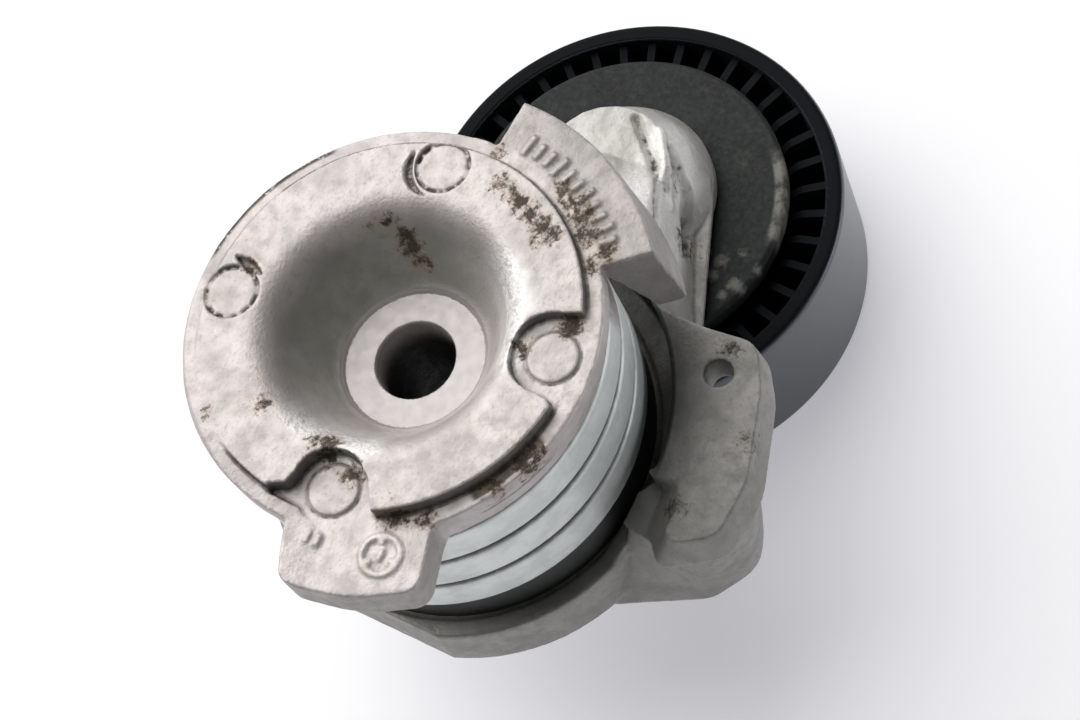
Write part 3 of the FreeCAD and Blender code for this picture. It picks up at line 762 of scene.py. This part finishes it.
def base_tones(g):
    x, y, z, radius, angle = g.millimetres()
    upright = g.math("SUBTRACT", 1.0, g.facing_up())
    towards = g.math("ADD", g.math("MULTIPLY", x, SHADED_SIDE.x), g.math("MULTIPLY", y, SHADED_SIDE.y))
    clean = g.times(g.inside(radius, BORE_R, SEAT_R + 0.3, 0.3), g.inside(z, -0.3, 0.7, 0.3))

    # Painted olive shade on the recess wall, strongest on the side turned away from the light.
    recess = g.times(g.span(radius, MOUTH_R - 1.0, MOUTH_R + 0.8, 1.0, 0.0), g.inside(z, 0.3, 8.5, 3.0))
    recess = g.times(recess, g.span(towards, -6.0, 12.0, 0.0, 0.44))

    low, high = TAB_DEGS
    # Painted shade: in the bore, over the tab and its end face, on the lower tab's sides, on the upright
    # walls of the pad and in the pocket at its foot.
    bore = g.times(g.span(radius, BORE_R + 0.5, BORE_R + 0.9, 1.0, 0.0), g.span(z, -7.0, -0.6, 0.96, 0.0))
    tab = g.times(g.inside(angle, low - 2, high + 2, 1.0), g.span(radius, RIM_R - 0.6, RIM_R + 0.6))
    tab_end = g.times(tab, g.span(angle, low + 0.4, low + 1.4, 1.0, 0.0))
    foot = g.times(g.span(radius, RIM_R - 0.2, RIM_R + 1.0), g.span(x, -22.0, -20.0, 1.0, 0.0), upright)
    wall = g.times(
        g.inside(radius, MOUTH_R + 0.8, PAD_R + 0.5, 0.3),
        g.inside(z, 10.4, PAD_TOP_Z, 0.3),
        upright)
    pocket = g.times(
        g.inside(radius, PAD_R - 0.3, 29.3, 0.3),
        g.inside(angle, *POCKET_DEGS, 2.0),
        g.span(z, 10.6, 11.8, 1.0, 0.0),
        g.span(z, 5.5, 6.5))
    shades = ((bore, 1.0), (tab, 0.30), (tab_end, 0.25), (foot, 0.30), (wall, 0.6), (pocket, 0.93))
    film = 1.0
    for mask, depth in shades:
        film = g.lessened(film, mask, depth)

    outlines = []
    for degrees in PIN_MARK_DEGS:
        away = g.distance(g.flat_place(x, y), polar(PIN_MARK_CIRCLE_R, degrees))
        off = g.math("ABSOLUTE", g.math("SUBTRACT", away, PIN_OUTLINE_R))
        outlines.append(g.times(g.span(off, 0.10, 0.32, 0.16, 0.0), g.span(z, PAD_FOOT_Z, UPPER_FACE_Z)))
    step = g.math("ABSOLUTE", g.math("SUBTRACT", radius, PAD_R + 0.25))
    step = g.times(g.span(step, 0.12, 0.40, 1.0, 0.0), g.inside(z, PAD_FOOT_Z, PAD_TOP_Z, 0.3))
    step = g.times(step, g.most([g.inside(angle, low, high, soft) for low, high, soft in STEP_ARCS]))
    ragged = g.span(g.noise(1.6, 4.0), 0.3, 0.6, 0.35, 0.9)
    lines = g.math("MAXIMUM", g.most(outlines), g.times(step, ragged))

    # Painted highlight on the recess lip, on the side facing the light and off the lower lip.
    patchy = g.span(g.noise(1.3, 5.0), 0.38, 0.58, 0.15, 1.0)
    narrow_lip = g.times(g.inside(radius, MOUTH_R - 1.4, MOUTH_R + 0.7, 1.2), patchy)
    wide_lip = g.times(g.inside(radius, MOUTH_R - 3.5, MOUTH_R + 1.6, 1.8), 0.35)
    lip = g.math("ADD", narrow_lip, wide_lip, clamp=True)
    lip = g.times(lip, g.span(z, 3.0, 8.0), g.span(towards, 4.0, -8.0))
    bright = g.lessened(lip, g.inside(angle, *LOWER_LIP_DEGS, 14.0), 1.0)

    # Painted dark reflection: specks along the rim's rounded edge.
    chips = g.times(
        g.inside(angle, *DARK_RIM_REFLECTION_DEGS, 4.0),
        g.span(radius, RIM_R - 1.1, RIM_R - 0.5),
        g.span(z, 9.0, 11.0))
    return {"film": film, "bright": bright, "clean": clean, "lines": lines, "chips": chips, "green": recess}


# Share of the arm's colour left unshaded: painted shade darkens the whole arm towards black.
ARM_UNSHADED_SHARE = 0.58


def arm_tones(g):
    x, y, z, radius, angle = g.millimetres()
    # Painted shade: the well under the spring goes nearly black, and the ear's top is darkened as the base's
    # shadow, more so near the spring.
    well = g.times(
        g.span(radius, CUP_R, CUP_R + 0.5, 1.0, 0.0),
        g.span(z, CUP_RIM_Z - 0.9, CUP_RIM_Z + 0.5),
        g.inside(angle, -84.0, 40.0, 8.0))
    ear_top = g.times(g.span(z, EAR_TOP_Z - 0.9, EAR_TOP_Z - 0.2), g.span(x, 26.0, 24.0, 0.0, 1.0))
    ear_near = g.times(ear_top, g.span(radius, 33.5, 40.0, 1.0, 0.0))
    # Painted light on the neck's lit facets: less painted shade there, and a painted highlight.
    neck = g.times(g.span(x, 28.0, 40.0), g.span(z, -36.0, -31.0))
    film = g.math("ADD", ARM_UNSHADED_SHARE, g.times(neck, g.span(y, -7.0, -2.0, 0.42, 0.30)))
    for mask, depth in ((well, 0.93), (ear_top, 0.12), (ear_near, 0.45)):
        film = g.lessened(film, mask, depth)
    return {"film": film, "bright": g.times(neck, g.span(y, -8.0, -3.0, 0.6, 0.1))}


# Dirty places: where each is in millimetres, its radius, and how dirty it is
BASE_STAINS = [
    ((14.6, 8.5, 10.5), 3.4, 0.7),
    ((13.8, 9.7, 10.5), 3.0, 0.6),
    ((14.3, 5.6, 8.1), 3.0, 1.0),
    ((13.7, 5.0, 6.3), 3.6, 1.0),
    ((13.0, 4.0, 4.4), 3.4, 0.9),
    ((12.3, 3.0, 2.5), 2.4, 0.4),
    ((24.0, -6.5, 13.0), 3.0, 0.8),
    ((23.0, -8.4, 13.0), 2.6, 0.9),
    ((22.2, -10.4, 13.0), 3.0, 0.9),
    ((21.2, -12.6, 13.0), 3.0, 1.0),
    ((20.3, -14.6, 13.0), 3.4, 1.0),
    ((19.2, -16.8, 13.0), 3.0, 1.0),
    ((17.6, -15.2, 13.0), 2.4, 0.8),
    ((28.9, -3.0, 12.0), 2.8, 0.8),
    ((26.4, -14.2, 11.6), 3.0, 0.9),
    ((25.0, -17.4, 11.5), 3.8, 1.0),
    ((23.3, -19.3, 11.4), 3.4, 1.0),
    ((21.6, -21.0, 11.4), 4.2, 1.0),
    ((19.4, -24.4, 11.4), 3.2, 0.9),
    ((17.3, -23.2, 11.3), 2.8, 0.8),
    ((8.2, -24.4, 11.2), 3.8, 1.0),
    ((3.2, -19.4, 11.2), 3.2, 0.8),
    ((1.4, 23.4, 12.5), 2.4, 1.0),
    ((0.9, 21.8, 12.5), 1.6, 0.9),
    ((-17.0, 11.5, 13.0), 3.6, 0.6),
    ((-20.5, 18.0, 12.5), 2.6, 0.6),
    ((-19.6, 0.0, 12.0), 4.6, 1.0),
    ((-20.8, -5.0, 11.0), 3.8, 0.9),
    ((-24.2, -12.8, 10.4), 4.4, 1.0),
    ((-23.6, -17.4, 10.4), 3.0, 0.9),
    ((-11.0, -27.0, 10.2), 5.2, 1.0),
    ((-15.5, -22.8, 9.6), 4.4, 1.0),
]
ARM_STAINS = [
    ((50.0, -9.0, -30.0), 5.0, 0.8),
    ((42.0, -15.0, -34.0), 5.5, 0.8),
    ((22.0, -36.0, -17.0), 4.0, 0.6),
    ((10.0, -44.0, -18.0), 4.0, 0.6),
    ((-3.0, -38.0, -18.0), 4.0, 0.9),
]

base_metal = cast_metal(
    "die_cast_aluminium_base",
    light=(0.56, 0.52, 0.515),
    dark=(0.42, 0.39, 0.38),
    grime=(0.17, 0.12, 0.075),
    stains=BASE_STAINS,
    tones=base_tones)
arm_metal = cast_metal(
    "die_cast_aluminium_arm",
    light=(0.52, 0.50, 0.48),
    dark=(0.38, 0.37, 0.345),
    grime=(0.11, 0.10, 0.075),
    stains=ARM_STAINS,
    tones=arm_tones)
finish_with(base, base_metal)
finish_with(arm, arm_metal)


def spring_finish():
    """Pale zinc on the wire's outer face, and painted shade at the gaps between the coils."""
    g = Graph("zinc_spring_wire")
    across = g.attribute("across")
    cloud = g.noise(6.0, 3.0)
    speck = g.noise(0.5, 4.0, 0.7)
    color = g.mix(g.span(cloud, 0.35, 0.65), (0.80, 0.84, 0.82), (0.66, 0.70, 0.68))
    color = g.mix(g.span(speck, 0.58, 0.74, 0.0, 0.3), color, (0.28, 0.30, 0.28))
    # Painted shade darkens the wire near its upper and lower faces, at the gaps between the coils.
    off_middle = g.math("ABSOLUTE", g.math("SUBTRACT", across, 0.5))
    gap_shade = g.span(g.math("ADD", off_middle, g.math("MULTIPLY", g.noise(1.2), 0.05)), 0.43, 0.53)
    color = g.mix(g.math("MULTIPLY", gap_shade, 0.85), color, (0.07, 0.08, 0.07))
    g.set(color=color, metal=0.35, rough=g.span(cloud, 0.3, 0.7, 0.40, 0.52), normal=g.bump(speck, 0.05, 0.4))
    return g.material


finish_with(spring, spring_finish())


def moulded(name, dark, pale, centre_x=None, rough=(0.5, 0.65)):
    """Moulded polymer with fine grain and dust. With an axis it also has rubbing marks round it, and a
    glossy running surface between dull sides."""
    g = Graph(name)
    cloud = g.noise(7.0, 4.0)
    grain = g.noise(0.35, 3.0)
    color = g.mix(g.span(cloud, 0.4, 0.75, 0.0, 0.35), dark, pale)
    if centre_x is None:
        g.set(color=color, rough=g.span(cloud, 0.3, 0.7, *rough), normal=g.bump(grain, 0.04, 0.4))
        return g.material
    lines = g.noise(0.5, 3.0, place=g.around(centre_x, 2.0))
    color = g.mix(g.span(lines, 0.55, 0.8, 0.0, 0.35), color, pale)
    height = g.math("ADD", g.math("MULTIPLY", grain, 0.5), lines)
    flat = g.facing_up()
    g.set(
        color=g.mix(flat, color, scaled(dark, 0.4)),
        rough=g.span(flat, 0.0, 1.0, 0.34, 0.7),
        specular=g.span(flat, 0.0, 1.0, 0.9, 0.10),
        tint=(0.80, 0.91, 1.0),
        coat=g.span(flat, 0.0, 1.0, 0.35, 0.0),
        coat_rough=0.3,
        normal=g.bump(height, 0.04, 0.4))
    return g.material


def steel(name, light, dark, metal, rough, centre_x=None):
    """Steel with a fine grain, or turned marks round its axis if it has one."""
    g = Graph(name)
    cloud = g.noise(5.0, 4.0)
    speck = g.noise(0.7, 5.0, 0.7)
    color = g.mix(g.span(cloud, 0.35, 0.65), light, dark)
    height = speck
    if centre_x is not None:
        height = g.noise(0.4, 2.0, place=g.around(centre_x, 1.5))
    g.set(color=color, metal=metal, rough=g.span(speck, 0.3, 0.7, rough - 0.06, rough + 0.08),
          normal=g.bump(height, 0.03, 0.35))
    return g.material


# Pale dust on the rear dust shield: place across the shield, radius and strength
SHIELD_SPOTS = [
    ((43.7, -16.2), 2.2, 0.8),
    ((41.0, -19.1), 1.6, 0.9),
    ((43.5, -19.4), 1.8, 0.7),
    ((40.6, -23.3), 1.7, 1.0),
    ((43.9, -26.0), 1.8, 0.8),
    ((40.2, -25.2), 1.4, 0.8),
    ((36.4, -19.1), 1.5, 0.8),
    ((34.4, -18.3), 1.5, 0.6),
    ((46.0, -22.4), 1.2, 0.6),
    ((38.4, -22.0), 1.2, 0.7),
]
RUBBED_AND_LIT_SHIELD_DEGS = (-84.0, -56.0)
SHIELD_TOP_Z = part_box("dust_shield_rear")[1].z / MM


def shield_finish():
    """Dark phosphated sheet with pale dust spots beside the ear and a worn edge whose pale arc is partly a
    painted highlight.
    """
    g = Graph("phosphated_shield")
    x, y, _, _, _ = g.millimetres()
    cloud = g.noise(6.0, 4.0)
    speck = g.noise(0.7, 5.0, 0.7)
    color = g.mix(g.span(cloud, 0.35, 0.65), (0.013, 0.016, 0.0155), (0.008, 0.010, 0.0095))
    patch = g.most([
        g.near((px, py, SHIELD_TOP_Z), size * 1.5, strength) for (px, py), size, strength in SHIELD_SPOTS])
    broken = g.math("ADD", patch, g.math("MULTIPLY", g.noise(1.1, 3.0, 0.5), 1.2))
    dust = g.times(g.span(broken, 0.85, 1.7, 0.0, 0.6), g.span(patch, 0.0, 0.3))
    angle = g.degrees(g.math("SUBTRACT", x, PULLEY_X), y)
    # A pale arc on the edge: partly rubbed wear, partly a painted highlight where the edge catches the light.
    rubbed_and_lit = g.times(
        g.inside(g.radius(PULLEY_X), 24.9 * MM, 27.0 * MM, 0.7 * MM),
        g.inside(angle, *RUBBED_AND_LIT_SHIELD_DEGS, 8.0),
        g.span(g.noise(2.5, 3.0), 0.35, 0.6, 0.15, 0.6))
    # From here the dust value also carries the painted highlight on the edge.
    dust = g.math("MAXIMUM", dust, rubbed_and_lit)
    dust = g.math("MAXIMUM", dust, g.span(g.noise(3.0, 4.0, 0.6), 0.56, 0.80, 0.0, 0.10))
    color = g.mix(dust, color, (0.27, 0.26, 0.235))
    g.set(color=color, metal=0.2, rough=g.span(speck, 0.3, 0.7, 0.56, 0.72), normal=g.bump(speck, 0.03, 0.35),
          specular=0.3)
    return g.material


FINISHES = {
    "pulley_rim": moulded("pulley_polymer", (0.008, 0.010, 0.012), (0.026, 0.031, 0.038), PULLEY_X),
    "polymer_black": moulded("black_polymer", (0.026, 0.029, 0.026), (0.085, 0.092, 0.080)),
    "seal_rubber": moulded("seal_rubber", (0.018, 0.018, 0.018), (0.05, 0.05, 0.05), None, (0.6, 0.75)),
    "shield_steel": shield_finish(),
    "bearing_steel": steel("ground_steel", (0.56, 0.56, 0.57), (0.46, 0.46, 0.47), 1.0, 0.26, PULLEY_X),
    "bolt_steel": steel("zinc_bolt", (0.50, 0.50, 0.47), (0.38, 0.38, 0.35), 0.9, 0.36),
}
slots = {s["node"]: s["material_slot"] for s in frame["record"]["subparts"]}
for node, piece in NODES.items():
    finish = FINISHES.get(node) or FINISHES.get(slots[node])
    if finish:
        finish_with(piece, finish)


# ---------------------------------------------------------------- camera, light and floor

CAMERA_AT = Vector((-91.42, -156.529, 302.136)) * MM
CAMERA_AZIMUTH = -34.96
CAMERA_ELEVATION = 60.67
CAMERA_ROLL = -32.7
CAMERA_LENS = 83.333
SENSOR_WIDTH = 36.0
LIT_POINT = Vector((24.0, 0.0, -25.0)) * MM
SUN_STRENGTH = 3.85
SUN_SOFTNESS_DEG = 75
FLOOR_HALF_WIDTH = 1.5
FLOOR_GAP = 0.0002

azimuth, elevation = math.radians(CAMERA_AZIMUTH), math.radians(CAMERA_ELEVATION)
back = Vector((
    math.sin(azimuth) * math.cos(elevation),
    -math.cos(azimuth) * math.cos(elevation),
    math.sin(elevation)))
camera = link("camera", bpy.data.cameras.new("camera"))
aim = (-back).to_track_quat("-Z", "Y").to_matrix().to_4x4()
roll = Matrix.Rotation(math.radians(CAMERA_ROLL), 4, "Z")
camera.matrix_world = Matrix.Translation(CAMERA_AT) @ aim @ roll
camera.data.lens = CAMERA_LENS
camera.data.sensor_width = SENSOR_WIDTH
camera.data.clip_start = 0.01
camera.data.clip_end = 10.0
bpy.context.scene.camera = camera
view_right = camera.matrix_world.to_3x3() @ Vector((1, 0, 0))
view_up = camera.matrix_world.to_3x3() @ Vector((0, 1, 0))


def shine(light, right, up, towards):
    """Turns a light to shine from a direction: across, up and towards the photographer."""
    direction = (view_right * right + view_up * up + back * towards).normalized()
    light.rotation_mode = "QUATERNION"
    light.rotation_quaternion = (-direction).to_track_quat("-Z", "Y")
    return direction


def soft_panel(name, direction, distance, size, watts, color):
    """A square area light at a distance from the object."""
    data = bpy.data.lights.new(name, "AREA")
    data.shape = "SQUARE"
    data.size = size
    data.energy = watts
    data.color = color
    light = link(name, data)
    light.location = LIT_POINT + shine(light, *direction) * distance


sun_data = bpy.data.lights.new("key_light", "SUN")
sun_data.energy = SUN_STRENGTH
sun_data.angle = math.radians(SUN_SOFTNESS_DEG)
sun_data.color = (1.0, 0.985, 0.97)
sun = link("key_light", sun_data)
shine(sun, -0.62, 0.70, 0.36)
soft_panel("side_panel", (0.95, 0.12, 0.0), 0.70, 0.40, 3.2, (0.93, 0.96, 1.0))

world = bpy.data.worlds.new("studio")
bpy.context.scene.world = world
world.use_nodes = True
sky = world.node_tree.nodes["Background"]
sky.inputs["Color"].default_value = (0.90, 0.95, 0.93, 1.0)
sky.inputs["Strength"].default_value = 0.10

floor_mesh = bpy.data.meshes.new("floor")
half = FLOOR_HALF_WIDTH
floor_corners = [(-half, -half, 0), (half, -half, 0), (half, half, 0), (-half, half, 0)]
floor_mesh.from_pydata(floor_corners, [], [(0, 1, 2, 3)])
floor = link("floor", floor_mesh)
floor.location = (0.02, 0, cad_low.z - FLOOR_GAP)
paper = Graph("pale_paper")
paper.set(color=(0.60, 0.60, 0.60), rough=0.9, glow=(0.93, 0.92, 1.0), glow_strength=0.42)
finish_with(floor, paper.material)

bpy.context.scene.view_settings.view_transform = "Standard"
